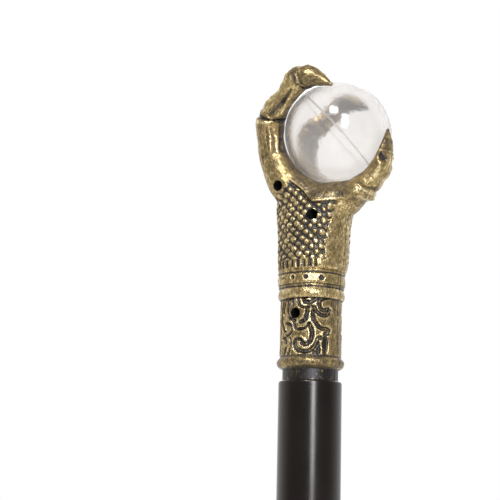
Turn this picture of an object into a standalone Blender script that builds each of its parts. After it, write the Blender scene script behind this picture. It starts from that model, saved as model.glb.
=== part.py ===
"""Claw and ball walking stick.

A clear hollow ball is gripped by three talons that grow out of a moulded
two-piece handle.  The handle's round spigot pushes into a black tube, which is
made in two sections screwed end to end, and a rubber ferrule is pushed on the
foot.  The world origin is the middle of the ferrule's sole and Z runs up the
stick.  The short talon points to +X and the handle parts on the plane Y = 0.
"""

import math

import bmesh
import bpy
from mathutils import Matrix, Vector

MM = 0.001

# Clearances
FIT = 0.3 * MM
PARTING_GAP = 0.3 * MM

# Shaft
TUBE_RADIUS = 11.0 * MM
TUBE_WALL = 1.0 * MM
TUBE_LIP = 0.8 * MM
TUBE_SEAM_LIP = 0.2 * MM
LOWER_TUBE_LENGTH = 416.0 * MM
UPPER_TUBE_LENGTH = 356.0 * MM

# Screwed joint between the two sections
INSERT_LENGTH = 24.0 * MM
STUD_RADIUS = 4.5 * MM
STUD_LENGTH = 17.0 * MM
STUD_CHAMFER = 1.2 * MM

# Ferrule
SOLE_THICKNESS = 6.0 * MM
SOLE_FILLET = 2.2 * MM
SOLE_PAD_RADIUS = 4.0 * MM
TREAD_WIDTH = 1.2 * MM
TREAD_PITCH = 3.2 * MM
TREAD_DEPTH = 0.8 * MM
TREADS = 2
FERRULE_WALL = 1.6 * MM
FERRULE_LIP_WALL = 1.3 * MM
FERRULE_LIP_HEIGHT = 7.5 * MM
FERRULE_GROOVE = 1.0 * MM
FERRULE_ROUND = 0.5 * MM
FERRULE_HEIGHT = 28.0 * MM
WASHER_THICKNESS = 1.5 * MM
WASHER_HOLE_RADIUS = 3.0 * MM

# Ball
BALL_RADIUS = 19.0 * MM
BALL_WALL = 1.6 * MM
BALL_LIP_HEIGHT = 1.6 * MM
BALL_OFFSET = 10.1 * MM
SEAM_NORMAL = (0.690, 0.277, 0.669)

# Handle, from the mouth of the shaft up: spigot below, then neck, bead, barrel, collar, band and palm
SPIGOT_LENGTH = 32.0 * MM
SPIGOT_WALL = 1.8 * MM
SPIGOT_CHAMFER = 0.6 * MM
SHELL_WALL = 1.8 * MM
NECK_GAP = 4.2 * MM
BEAD_THICKNESS = 2.0 * MM
BEAD_OVERHANG = 0.8 * MM
BEAD_START = -75.0
BEAD_END = 55.0
BARREL_LENGTH = 19.6 * MM
BARREL_INSET = 0.3 * MM
COLLAR_LENGTH = 4.4 * MM
COLLAR_OVERHANG = 0.7 * MM
BAND_LENGTH = 5.8 * MM
BAND_OVERHANG = 0.9 * MM
RING_GROOVE = 0.6 * MM
PALM_LENGTH = 31.2 * MM

# Palm: share of its length, sideways shift, and growth along X and Y past the tube's radius
PALM_LEVELS = (
    (0.04, 0.4 * MM, 1.2 * MM, 1.2 * MM),
    (0.19, 0.6 * MM, 1.6 * MM, 1.4 * MM),
    (0.39, 0.7 * MM, 1.9 * MM, 1.4 * MM),
    (0.58, 0.8 * MM, 2.5 * MM, 1.2 * MM),
    (0.72, 1.3 * MM, 3.7 * MM, 0.8 * MM),
    (0.80, 2.2 * MM, 4.9 * MM, 0.2 * MM),
    (0.87, 2.9 * MM, 5.8 * MM, -1.1 * MM),
    (0.93, 3.2 * MM, 6.2 * MM, -3.1 * MM),
    (0.99, 3.3 * MM, 5.8 * MM, -5.5 * MM),
    (1.04, 3.3 * MM, 4.2 * MM, -8.0 * MM),
)
CAVITY_LEVELS = (
    (0.06, 0.5 * MM, -0.6 * MM, -0.6 * MM),
    (0.50, 0.6 * MM, 0.0 * MM, -0.8 * MM),
    (0.74, 1.0 * MM, 0.0 * MM, -1.8 * MM),
    (0.83, 1.0 * MM, -2.6 * MM, -4.0 * MM),
)

# Talons follow the ball.  Each station is the direction from the ball's centre
# in degrees (turn from +X, rise above level), the height of the section's
# middle above the ball, and the section's half width and half depth.
TALL_TALON = (
    (150.0, -80.0, 5.6 * MM, 6.6 * MM, 5.6 * MM),
    (156.0, -62.0, 7.0 * MM, 6.6 * MM, 7.0 * MM),
    (157.0, -45.0, 6.6 * MM, 6.0 * MM, 6.6 * MM),
    (157.0, -30.0, 5.8 * MM, 5.3 * MM, 5.6 * MM),
    (154.0, -7.0, 5.2 * MM, 4.8 * MM, 4.8 * MM),
    (151.0, 10.0, 5.5 * MM, 5.3 * MM, 5.3 * MM),
    (147.5, 17.0, 4.7 * MM, 4.5 * MM, 4.5 * MM),
    (143.0, 21.0, 4.7 * MM, 4.9 * MM, 4.6 * MM),
    (133.0, 30.0, 3.8 * MM, 4.0 * MM, 3.7 * MM),
    (121.0, 40.0, 4.6 * MM, 4.4 * MM, 4.3 * MM),
    (115.0, 44.0, 5.4 * MM, 4.7 * MM, 4.7 * MM),
    (109.0, 47.0, 4.5 * MM, 4.2 * MM, 4.2 * MM),
    (104.0, 48.0, 4.4 * MM, 4.5 * MM, 4.3 * MM),
    (95.0, 48.0, 3.6 * MM, 3.7 * MM, 3.5 * MM),
    (85.0, 46.0, 2.7 * MM, 2.6 * MM, 2.4 * MM),
    (76.0, 43.0, 1.9 * MM, 1.5 * MM, 1.3 * MM),
    (68.0, 40.0, 1.4 * MM, 0.5 * MM, 0.5 * MM),
)
SHORT_TALON = (
    (0.0, -84.0, 6.4 * MM, 8.0 * MM, 5.4 * MM),
    (0.0, -68.0, 4.2 * MM, 6.6 * MM, 4.0 * MM),
    (0.0, -56.0, 4.0 * MM, 5.7 * MM, 4.0 * MM),
    (0.0, -50.0, 3.5 * MM, 5.0 * MM, 3.3 * MM),
    (0.0, -43.0, 3.6 * MM, 5.2 * MM, 3.5 * MM),
    (0.0, -34.0, 3.0 * MM, 4.8 * MM, 2.9 * MM),
    (0.0, -28.0, 2.5 * MM, 4.7 * MM, 2.4 * MM),
    (0.0, -25.0, 2.1 * MM, 4.0 * MM, 2.0 * MM),
    (0.0, -21.0, 1.9 * MM, 3.9 * MM, 1.7 * MM),
    (0.0, -15.0, 1.5 * MM, 2.9 * MM, 1.3 * MM),
    (0.0, -8.5, 1.1 * MM, 1.6 * MM, 0.8 * MM),
    (0.0, -3.0, 0.9 * MM, 0.6 * MM, 0.4 * MM),
)

HEEL_WEB = (
    (180.0, -80.0, 5.6 * MM, 6.6 * MM, 5.6 * MM),
    (180.0, -62.0, 6.6 * MM, 6.6 * MM, 6.6 * MM),
    (180.0, -48.0, 6.2 * MM, 6.4 * MM, 6.2 * MM),
    (180.0, -38.0, 5.5 * MM, 5.8 * MM, 5.4 * MM),
    (180.0, -31.0, 3.4 * MM, 4.6 * MM, 3.3 * MM),
)

# Handle screws
LOWER_SCREW_DROP = 5.0 * MM
MIDDLE_SCREW_DROP = 12.2 * MM
MIDDLE_SCREW_SHIFT = 6.2 * MM
UPPER_SCREW_RISE = -49.5
UPPER_SCREW_HEIGHT = 7.2 * MM
SCREW_HEAD_RADIUS = 1.6 * MM
SCREW_HEAD_HEIGHT = 1.3 * MM
SCREW_SHANK_RADIUS = 1.1 * MM
SCREW_SHANK_LENGTH = 9.0 * MM
SCREW_TIP = 1.5 * MM
SCREW_SEAT = 3.0 * MM
BOSS_WALL = 1.5 * MM

# Facets
ROUND = 36
BALL_ROUND = 32
DOME_STEPS = 7
BEAD_STEPS = 6
EDGE_STEPS = 4
SCREW_ROUND = 20
TALON_SIDES = 16
TALON_STEPS = 2
CREASE_ANGLE = 35.0
ON_AXIS = 1e-7
PIVOT_SIZE = 20.0 * MM

# Places worked out from the sizes above
WASHER_BASE = SOLE_THICKNESS + FIT
TUBE_BASE = WASHER_BASE + WASHER_THICKNESS + FIT
SECTION_JOINT = TUBE_BASE + LOWER_TUBE_LENGTH
SHAFT_MOUTH = SECTION_JOINT + FIT + UPPER_TUBE_LENGTH
TUBE_BORE = TUBE_RADIUS - TUBE_WALL
SPIGOT_RADIUS = TUBE_BORE - FIT
BARREL_RADIUS = TUBE_RADIUS - BARREL_INSET
BARREL_BASE = NECK_GAP + 2 * BEAD_THICKNESS
COLLAR_BASE = BARREL_BASE + BARREL_LENGTH
BAND_BASE = COLLAR_BASE + COLLAR_LENGTH
PALM_BASE = BAND_BASE + BAND_LENGTH
BALL_SEAT = PALM_BASE + PALM_LENGTH
BALL_CENTRE = Vector((BALL_OFFSET, 0.0, BALL_SEAT + BALL_RADIUS))
HEAD_BORE = SCREW_HEAD_RADIUS + FIT
SHANK_BORE = SCREW_SHANK_RADIUS + FIT
BOSS_RADIUS = HEAD_BORE + BOSS_WALL
REACH = 3 * BALL_RADIUS


def clear_scene():
    for obj in list(bpy.data.objects):
        bpy.data.objects.remove(obj)


def finish(name, colour, roughness, metallic=0.0, transmission=0.0):
    """A plain material for one kind of piece."""
    material = bpy.data.materials.new(name)
    material.use_nodes = True
    shader = material.node_tree.nodes["Principled BSDF"]
    shader.inputs["Base Color"].default_value = (*colour, 1.0)
    shader.inputs["Roughness"].default_value = roughness
    shader.inputs["Metallic"].default_value = metallic
    shader.inputs["Transmission Weight"].default_value = transmission
    return material


def add_object(name, mesh, material=None, parent=None, place=(0.0, 0.0, 0.0)):
    """Puts a mesh in the scene as a named piece, smooth but for its sharp edges."""
    mesh.shade_smooth()
    mesh.set_sharp_from_angle(angle=math.radians(CREASE_ANGLE))
    obj = bpy.data.objects.new(name, mesh)
    bpy.context.scene.collection.objects.link(obj)
    if material:
        mesh.materials.append(material)
    obj.parent = parent
    obj.location = place
    return obj


def add_pivot(name, place, parent=None):
    """An empty on a joint's axis, which the moving pieces hang from."""
    pivot = bpy.data.objects.new(name, None)
    pivot.empty_display_size = PIVOT_SIZE
    pivot.location = place
    pivot.parent = parent
    bpy.context.scene.collection.objects.link(pivot)
    return pivot


def as_guide(obj):
    """Marks an object as a cutter or a form that others are made from."""
    obj.hide_render = True
    obj.display_type = "WIRE"
    return obj


def combine(obj, other, operation):
    modifier = obj.modifiers.new(f"{operation.lower()}_{other.name}", "BOOLEAN")
    modifier.operation = operation
    modifier.solver = "EXACT"
    modifier.object = other


def arc(centre_r, centre_z, radius, start, end, steps):
    """Points of a round stretch of a turned outline, with angles in degrees."""
    points = []
    for step in range(steps + 1):
        angle = math.radians(start + (end - start) * step / steps)
        points.append((centre_r + radius * math.cos(angle), centre_z + radius * math.sin(angle)))
    return points


def skin_rings(name, rings, closed_loop=False):
    """A closed mesh through rings of points.  A ring of one point is a tip."""
    shape = bmesh.new()
    made = [[shape.verts.new(point) for point in ring] for ring in rings]
    pairs = list(zip(made, made[1:]))
    if closed_loop:
        pairs.append((made[-1], made[0]))
    for low, high in pairs:
        sides = max(len(low), len(high))
        for i in range(sides):
            j = (i + 1) % sides
            corners = [low[i % len(low)], low[j % len(low)], high[j % len(high)], high[i % len(high)]]
            shape.faces.new(list(dict.fromkeys(corners)))
    if not closed_loop:
        for ring in (made[0], made[-1]):
            if len(ring) > 1:
                shape.faces.new(ring)
    bmesh.ops.recalc_face_normals(shape, faces=shape.faces)
    mesh = bpy.data.meshes.new(name)
    shape.to_mesh(mesh)
    shape.free()
    return mesh


def turned(name, outline, sides=ROUND):
    """A solid of revolution from a closed outline of (radius, height) points."""
    on_axis = any(radius < ON_AXIS for radius, _ in outline)
    rings = []
    for radius, height in outline:
        if radius < ON_AXIS:
            rings.append([Vector((0.0, 0.0, height))])
            continue
        angles = [2 * math.pi * i / sides for i in range(sides)]
        rings.append([Vector((radius * math.cos(a), radius * math.sin(a), height)) for a in angles])
    return skin_rings(name, rings, closed_loop=not on_axis)


def oval(height, shift, half_x, half_y, sides=ROUND):
    """A level ring of points.  None of them lies on the parting plane Y = 0."""
    points = []
    for i in range(sides):
        angle = 2 * math.pi * (i + 0.5) / sides
        points.append(Vector((shift + half_x * math.cos(angle), half_y * math.sin(angle), height)))
    return points


def smooth_between(stations, steps):
    """Catmull-Rom values through the stations, with steps values for each span."""
    values = []
    last = len(stations) - 1
    for i in range(last):
        before = stations[max(i - 1, 0)]
        after = stations[min(i + 2, last)]
        for step in range(steps):
            t = step / steps
            values.append([
                0.5 * (2 * b + (c - a) * t + (2 * a - 5 * b + 4 * c - d) * t**2
                       + (3 * b - a - 3 * c + d) * t**3)
                for a, b, c, d in zip(before, stations[i], stations[i + 1], after)
            ])
    values.append(list(stations[last]))
    return values


def outward(turn, rise, side=1.0):
    """The direction from the ball's centre, mirrored to -Y where side is -1."""
    turn, rise = math.radians(turn), math.radians(rise)
    return Vector((
        math.cos(rise) * math.cos(turn),
        side * math.cos(rise) * math.sin(turn),
        math.sin(rise),
    ))


def talon(name, stations, side=1.0):
    """A finger and its nail, or a web between two of them, bent round the ball."""
    path = smooth_between(stations, TALON_STEPS)
    middles = []
    for turn, rise, height, _, _ in path:
        middles.append(BALL_CENTRE + outward(turn, rise, side) * (BALL_RADIUS + height))
    rings = []
    for i, (turn, rise, _, half_width, half_depth) in enumerate(path):
        along = (middles[min(i + 1, len(path) - 1)] - middles[max(i - 1, 0)]).normalized()
        up = outward(turn, rise, side)
        up = (up - along * up.dot(along)).normalized()
        across = along.cross(up)
        ring = []
        for k in range(TALON_SIDES):
            angle = 2 * math.pi * (k + 0.5) / TALON_SIDES
            beside = across * half_width * math.cos(angle)
            ring.append(middles[i] + beside + up * half_depth * math.sin(angle))
        rings.append(ring)
    return skin_rings(name, rings)


def handle_outline():
    """Radius against height of the handle's turned lower half, from the spigot's end up."""
    bead_middle = NECK_GAP + BEAD_THICKNESS
    bead_core = TUBE_RADIUS + BEAD_OVERHANG - BEAD_THICKNESS
    collar = TUBE_RADIUS + COLLAR_OVERHANG
    band = TUBE_RADIUS + BAND_OVERHANG
    edge = RING_GROOVE
    points = [(SPIGOT_RADIUS - SPIGOT_CHAMFER, -SPIGOT_LENGTH)]
    points += [(SPIGOT_RADIUS, SPIGOT_CHAMFER - SPIGOT_LENGTH), (SPIGOT_RADIUS, NECK_GAP)]
    points += arc(bead_core, bead_middle, BEAD_THICKNESS, BEAD_START, BEAD_END, BEAD_STEPS)
    points += [(BARREL_RADIUS, BARREL_BASE), (BARREL_RADIUS, COLLAR_BASE)]
    points += [(collar - edge, COLLAR_BASE + edge), (collar, COLLAR_BASE + 2 * edge)]
    points += [(collar, BAND_BASE - 2 * edge), (collar - edge, BAND_BASE)]
    points += [(band - edge, BAND_BASE + edge), (band, BAND_BASE + 2 * edge)]
    points += [(band, PALM_BASE - edge), (band - edge / 2, PALM_BASE)]
    return points


def palm_ring(share, shift, grow_x, grow_y):
    """A level ring of the palm or of the hollow in it."""
    return oval(PALM_BASE + share * PALM_LENGTH, shift, TUBE_RADIUS + grow_x, TUBE_RADIUS + grow_y)


def handle_body():
    """Spigot, bead, barrel, collar and band, and the palm that carries the talons."""
    rings = [oval(height, 0.0, radius, radius) for radius, height in handle_outline()]
    rings += [palm_ring(*level) for level in PALM_LEVELS]
    return skin_rings("handle_body", rings)


def handle_cavity():
    """The hollow inside the shells, open at the foot of the spigot."""
    spigot_bore = SPIGOT_RADIUS - SPIGOT_WALL
    barrel_bore = BARREL_RADIUS - SHELL_WALL
    rings = [oval(-SPIGOT_LENGTH - REACH, 0.0, spigot_bore, spigot_bore)]
    rings += [oval(BARREL_BASE, 0.0, spigot_bore, spigot_bore)]
    rings += [oval(BARREL_BASE + SHELL_WALL, 0.0, barrel_bore, barrel_bore)]
    rings += [oval(COLLAR_BASE, 0.0, barrel_bore, barrel_bore)]
    rings += [palm_ring(*level) for level in CAVITY_LEVELS]
    return skin_rings("handle_cavity", rings)


def screw_places():
    """Name, place along X and height of each handle screw.  The upper one follows the ball."""
    upper = BALL_CENTRE + outward(180.0, UPPER_SCREW_RISE) * (BALL_RADIUS + UPPER_SCREW_HEIGHT)
    return (
        ("lower", 0.0, COLLAR_BASE - LOWER_SCREW_DROP),
        ("middle", MIDDLE_SCREW_SHIFT, BALL_SEAT - MIDDLE_SCREW_DROP),
        ("upper", upper.x, upper.z),
    )


def screw_guide(name, outline, parent, x, z):
    """A turned form that lies along +Y on a screw's axis, for bosses and holes."""
    mesh = turned(name, outline, SCREW_ROUND)
    mesh.transform(Matrix.Rotation(-math.pi / 2, 4, "X"))
    return as_guide(add_object(name, mesh, None, parent, (x, 0.0, z)))


def half_space(name, side):
    """A block on one side of the parting plane that holds the whole handle."""
    mesh = bpy.data.meshes.new(name)
    shape = bmesh.new()
    bmesh.ops.create_cube(shape, size=1.0)
    size = Vector((2 * REACH, REACH, 2 * (BALL_CENTRE.z + REACH)))
    bmesh.ops.transform(shape, matrix=Matrix.Diagonal((*size, 1.0)), verts=shape.verts)
    middle = side * (PARTING_GAP + REACH) / 2
    bmesh.ops.translate(shape, vec=(0.0, middle, 0.0), verts=shape.verts)
    shape.to_mesh(mesh)
    shape.free()
    return mesh


def handle_form(parent):
    """The whole moulding as one guide: body and talons, hollowed, with the ball's seat cut."""
    form = as_guide(add_object("form_handle", handle_body(), parent=parent))
    for name, stations, side in (
        ("form_heel_web", HEEL_WEB, 1.0),
        ("form_short_talon", SHORT_TALON, 1.0),
        ("form_tall_talon_back", TALL_TALON, 1.0),
        ("form_tall_talon_front", TALL_TALON, -1.0),
    ):
        combine(form, as_guide(add_object(name, talon(name, stations, side), parent=parent)), "UNION")
    seat_mesh = bpy.data.meshes.new("cut_ball_seat")
    shape = bmesh.new()
    bmesh.ops.create_uvsphere(shape, u_segments=BALL_ROUND, v_segments=BALL_ROUND // 2,
                              radius=BALL_RADIUS + FIT)
    shape.to_mesh(seat_mesh)
    shape.free()
    seat = as_guide(add_object("cut_ball_seat", seat_mesh, parent=parent, place=BALL_CENTRE))
    combine(form, seat, "DIFFERENCE")
    return form


def screw_mesh():
    """A pan-head self-tapping screw, head under the origin and point up its own Z."""
    shoulder = SCREW_HEAD_HEIGHT / 2
    outline = [(0.0, SCREW_SHANK_LENGTH), (SCREW_SHANK_RADIUS, SCREW_SHANK_LENGTH - SCREW_TIP)]
    outline += [(SCREW_SHANK_RADIUS, 0.0), (SCREW_HEAD_RADIUS, 0.0)]
    for step in range(EDGE_STEPS):
        angle = math.radians(90.0 * step / EDGE_STEPS)
        outline.append((SCREW_HEAD_RADIUS * math.cos(angle), -shoulder * (1 + math.sin(angle))))
    outline.append((0.0, -SCREW_HEAD_HEIGHT))
    return turned("handle_screw", outline, SCREW_ROUND)


def handle(parent, gold, steel):
    """Two shells, each with one tall talon and half of the short one, and their three screws."""
    form = handle_form(parent)
    cavity = as_guide(add_object("cut_cavity", handle_cavity(), parent=parent))
    boss = [(0.0, -REACH), (BOSS_RADIUS, -REACH), (BOSS_RADIUS, REACH), (0.0, REACH)]
    for name, x, z in screw_places():
        combine(cavity, screw_guide(f"keep_boss_{name}", boss, parent, x, z), "DIFFERENCE")
    combine(form, cavity, "DIFFERENCE")

    front = add_object("handle_front_shell", half_space("handle_front_shell", -1.0), gold, parent)
    back = add_object("handle_back_shell", half_space("handle_back_shell", 1.0), gold, parent)
    combine(front, form, "INTERSECT")
    combine(back, form, "INTERSECT")

    screw = screw_mesh()
    seat_y = -SCREW_SEAT - PARTING_GAP / 2
    shank_y = seat_y - FIT
    pilot_end = shank_y + SCREW_SHANK_LENGTH + FIT
    clearance = [(0.0, -REACH), (HEAD_BORE, -REACH), (HEAD_BORE, seat_y), (SHANK_BORE, seat_y)]
    clearance += [(SHANK_BORE, REACH), (0.0, REACH)]
    pilot = [(0.0, -REACH), (SHANK_BORE, -REACH), (SHANK_BORE, pilot_end), (0.0, pilot_end)]
    for name, x, z in screw_places():
        combine(front, screw_guide(f"cut_clearance_{name}", clearance, parent, x, z), "DIFFERENCE")
        combine(back, screw_guide(f"cut_pilot_{name}", pilot, parent, x, z), "DIFFERENCE")
        piece = add_object(f"handle_screw_{name}", screw, None, parent, (x, shank_y, z))
        piece.rotation_euler = (-math.pi / 2, 0.0, 0.0)
    screw.materials.append(steel)


def dome(radius, rim_height, from_pole):
    """The quarter arc of a dome from its pole to its rim, or back."""
    rim = math.degrees(math.asin(rim_height / radius))
    points = arc(0.0, 0.0, radius, rim, 90.0, DOME_STEPS)
    points[-1] = (0.0, radius)
    return points[::-1] if from_pole else points


def ball(parent, clear):
    """Two hollow domes that meet on a tilted seam, one with a lip inside the other's rebate."""
    seam = FIT / 2
    inner = BALL_RADIUS - BALL_WALL
    lip = BALL_RADIUS - (BALL_WALL + FIT) / 2
    rebate = lip + FIT
    lip_bore = math.sqrt(inner**2 - BALL_LIP_HEIGHT**2)
    outside = dome(BALL_RADIUS, seam, True)
    lipped = outside + [(lip, seam), (lip, -BALL_LIP_HEIGHT), (lip_bore, -BALL_LIP_HEIGHT)]
    lipped += dome(inner, seam, False)
    rebate_height = BALL_LIP_HEIGHT + FIT
    rebated = outside + [(rebate, seam), (rebate, rebate_height)] + dome(inner, rebate_height, False)

    to_seam = Vector((0.0, 0.0, 1.0)).rotation_difference(Vector(SEAM_NORMAL))
    over = Matrix.Rotation(math.pi, 4, "X").to_quaternion()
    for name, outline, turn in (
        ("ball_upper_half", lipped, to_seam),
        ("ball_lower_half", rebated, to_seam @ over),
    ):
        half = add_object(name, turned(name, outline, BALL_ROUND), clear, parent)
        half.rotation_mode = "QUATERNION"
        half.rotation_quaternion = turn


def tube(name, length, mouth_lip, material, parent, place):
    """One section of the shaft, with its mouth's outer edge rounded over."""
    outline = arc(TUBE_RADIUS - mouth_lip, length - mouth_lip, mouth_lip, 0.0, 90.0, EDGE_STEPS)
    outline += [(TUBE_BORE, length), (TUBE_BORE, 0.0), (TUBE_RADIUS, 0.0)]
    return add_object(name, turned(name, outline), material, parent, place)


def joint_pieces(upper, lower, material):
    """The plug with a bore in the upper tube and the plug with a stud in the lower one."""
    plug = TUBE_BORE - FIT
    bore = STUD_RADIUS + FIT
    socket = [(plug, 0.0), (plug, INSERT_LENGTH), (bore, INSERT_LENGTH), (bore, 0.0)]
    add_object("joint_socket", turned("joint_socket", socket), material, upper, (0.0, 0.0, FIT))
    stud = [(0.0, STUD_LENGTH), (STUD_RADIUS - STUD_CHAMFER, STUD_LENGTH)]
    stud += [(STUD_RADIUS, STUD_LENGTH - STUD_CHAMFER), (STUD_RADIUS, 0.0), (plug, 0.0)]
    stud += [(plug, -INSERT_LENGTH), (0.0, -INSERT_LENGTH)]
    add_object("joint_stud", turned("joint_stud", stud), material, lower)


def ferrule(parent, rubber, steel):
    """A pushed-on rubber foot with a step below its lip, treads on its sole and a washer inside."""
    bore = TUBE_RADIUS + FIT
    side = bore + FERRULE_WALL
    lip = bore + FERRULE_LIP_WALL
    step = FERRULE_HEIGHT - FERRULE_LIP_HEIGHT
    outline = [(0.0, SOLE_THICKNESS), (bore, SOLE_THICKNESS), (bore, FERRULE_HEIGHT)]
    outline += [(lip - FERRULE_ROUND, FERRULE_HEIGHT), (lip, FERRULE_HEIGHT - FERRULE_ROUND)]
    outline += [(lip, step), (lip - FERRULE_ROUND, step - FERRULE_GROOVE / 2)]
    outline += [(side, step - FERRULE_GROOVE)]
    outline += arc(side - SOLE_FILLET, SOLE_FILLET, SOLE_FILLET, 0.0, -90.0, EDGE_STEPS)
    for tread in reversed(range(TREADS)):
        edge = SOLE_PAD_RADIUS + tread * TREAD_PITCH
        outline += [(edge + TREAD_WIDTH, 0.0), (edge + TREAD_WIDTH, TREAD_DEPTH)]
        outline += [(edge, TREAD_DEPTH), (edge, 0.0)]
    outline += [(0.0, 0.0)]
    add_object("ferrule", turned("ferrule", outline), rubber, parent)

    rim = TUBE_RADIUS
    disc = [(rim, 0.0), (rim, WASHER_THICKNESS), (WASHER_HOLE_RADIUS, WASHER_THICKNESS)]
    disc += [(WASHER_HOLE_RADIUS, 0.0)]
    add_object("ferrule_washer", turned("ferrule_washer", disc), steel, parent, (0.0, 0.0, WASHER_BASE))


def main():
    clear_scene()
    gold = finish("antique_gold", (0.46, 0.33, 0.13), 0.42, metallic=0.85)
    clear = finish("clear_acrylic", (0.94, 0.93, 0.92), 0.05, transmission=1.0)
    black = finish("black_tube", (0.012, 0.011, 0.012), 0.28)
    rubber = finish("black_rubber", (0.016, 0.015, 0.015), 0.45)
    brass = finish("turned_brass", (0.60, 0.45, 0.18), 0.3, metallic=1.0)
    steel = finish("zinc_steel", (0.50, 0.50, 0.50), 0.35, metallic=1.0)

    foot_pivot = add_pivot("ferrule_pull", (0.0, 0.0, 0.0))
    lower_pivot = add_pivot("lower_section", (0.0, 0.0, SECTION_JOINT))
    upper_pivot = add_pivot("upper_section", (0.0, 0.0, SECTION_JOINT))
    handle_pivot = add_pivot("handle_pull", (0.0, 0.0, SHAFT_MOUTH))
    ball_pivot = add_pivot("ball_turn", BALL_CENTRE, handle_pivot)

    ferrule(foot_pivot, rubber, steel)
    tube("shaft_lower_tube", LOWER_TUBE_LENGTH, TUBE_SEAM_LIP, black, lower_pivot,
         (0.0, 0.0, TUBE_BASE - SECTION_JOINT))
    tube("shaft_upper_tube", UPPER_TUBE_LENGTH, TUBE_LIP, black, upper_pivot, (0.0, 0.0, FIT))
    joint_pieces(upper_pivot, lower_pivot, brass)
    handle(handle_pivot, gold, steel)
    ball(ball_pivot, clear)


main()
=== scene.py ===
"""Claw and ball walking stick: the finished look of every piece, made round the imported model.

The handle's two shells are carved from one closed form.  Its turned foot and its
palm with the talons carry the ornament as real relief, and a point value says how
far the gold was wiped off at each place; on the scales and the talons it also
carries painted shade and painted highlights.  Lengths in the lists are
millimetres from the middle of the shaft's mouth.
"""

import contextlib
import math

import bmesh
import bpy
import numpy as np
from mathutils import Matrix, Vector


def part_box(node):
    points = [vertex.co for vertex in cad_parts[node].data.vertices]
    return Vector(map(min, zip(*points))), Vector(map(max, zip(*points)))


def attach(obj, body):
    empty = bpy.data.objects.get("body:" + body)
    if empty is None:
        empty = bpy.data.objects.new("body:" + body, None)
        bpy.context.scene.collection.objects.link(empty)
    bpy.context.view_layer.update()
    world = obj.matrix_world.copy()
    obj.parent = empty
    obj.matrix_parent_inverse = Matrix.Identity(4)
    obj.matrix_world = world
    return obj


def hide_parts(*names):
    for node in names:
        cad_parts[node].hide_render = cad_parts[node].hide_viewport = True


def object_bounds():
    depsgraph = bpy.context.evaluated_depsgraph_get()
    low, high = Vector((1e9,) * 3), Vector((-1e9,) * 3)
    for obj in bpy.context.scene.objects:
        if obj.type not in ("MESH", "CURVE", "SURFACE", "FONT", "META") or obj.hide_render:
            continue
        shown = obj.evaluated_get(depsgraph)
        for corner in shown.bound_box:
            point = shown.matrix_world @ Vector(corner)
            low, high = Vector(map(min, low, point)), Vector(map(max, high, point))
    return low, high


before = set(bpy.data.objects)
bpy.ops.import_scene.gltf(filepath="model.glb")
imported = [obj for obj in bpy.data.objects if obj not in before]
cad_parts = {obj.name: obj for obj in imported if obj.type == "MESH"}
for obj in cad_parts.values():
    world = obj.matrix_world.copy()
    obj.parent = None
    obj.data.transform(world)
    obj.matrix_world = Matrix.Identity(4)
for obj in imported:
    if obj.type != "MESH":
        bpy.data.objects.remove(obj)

cad_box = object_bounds()

MM = 0.001
# Foot and top of the two tubes above the floor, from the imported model
TUBE_BASE, TUBE_TOP = (round(corner[2] / MM, 2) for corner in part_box("shaft_lower_tube"))
UPPER_BASE, MOUTH = (round(corner[2] / MM, 2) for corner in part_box("shaft_upper_tube"))
FIT = 0.3
PARTING_GAP = 0.3
TUBE_RADIUS = 11.0
TUBE_BORE = 10.0
SPIGOT_RADIUS = 9.7
SPIGOT_LENGTH = 32.0
SPIGOT_BORE = 7.9
BARREL_BASE = 8.2
BARREL_RADIUS = 10.7
BARREL_TOP = 28.0
BAND_RADIUS = 11.85
SHELL_WALL = 1.8
PALM_BASE = 38.0
PALM_LENGTH = 31.2
PALM_RADIUS = 12.3
BALL_RADIUS = 19.0
BALL_WALL = 1.6
BALL_LIP = 0.25
SEAM_GAP = 0.1
BALL_CENTRE = np.array((10.1, 0.0, 88.2))
SEAM_NORMAL = (0.690, 0.277, 0.669)
REACH = 60.0

# Share of the palm's length, sideways shift, and growth along X and Y past the tube's radius
PALM_LEVELS = (
    (0.04, 0.4, 1.2, 1.2), (0.19, 0.6, 1.6, 1.4), (0.39, 0.7, 1.9, 1.4), (0.58, 0.8, 2.5, 1.2),
    (0.72, 1.3, 3.7, 0.8), (0.80, 2.2, 4.9, 0.2), (0.87, 2.9, 5.8, -1.1), (0.93, 3.2, 6.2, -3.1),
    (0.99, 3.3, 5.8, -5.5), (1.04, 3.3, 4.2, -8),
)
# Radius, height and sideways shift of the palm's first rings, under the band
PALM_FOOT = ((10.2, 36.6, 0.1), (10.9, 37.6, 0.2), (11.6, 38.15, 0.25), (12, 38.6, 0.3))
CAVITY_LEVELS = (
    (0.06, 0.5, -0.6, -0.6), (0.50, 0.6, 0, -0.8), (0.74, 1, 0, -1.8), (0.83, 1, -2.6, -4),
)

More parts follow.
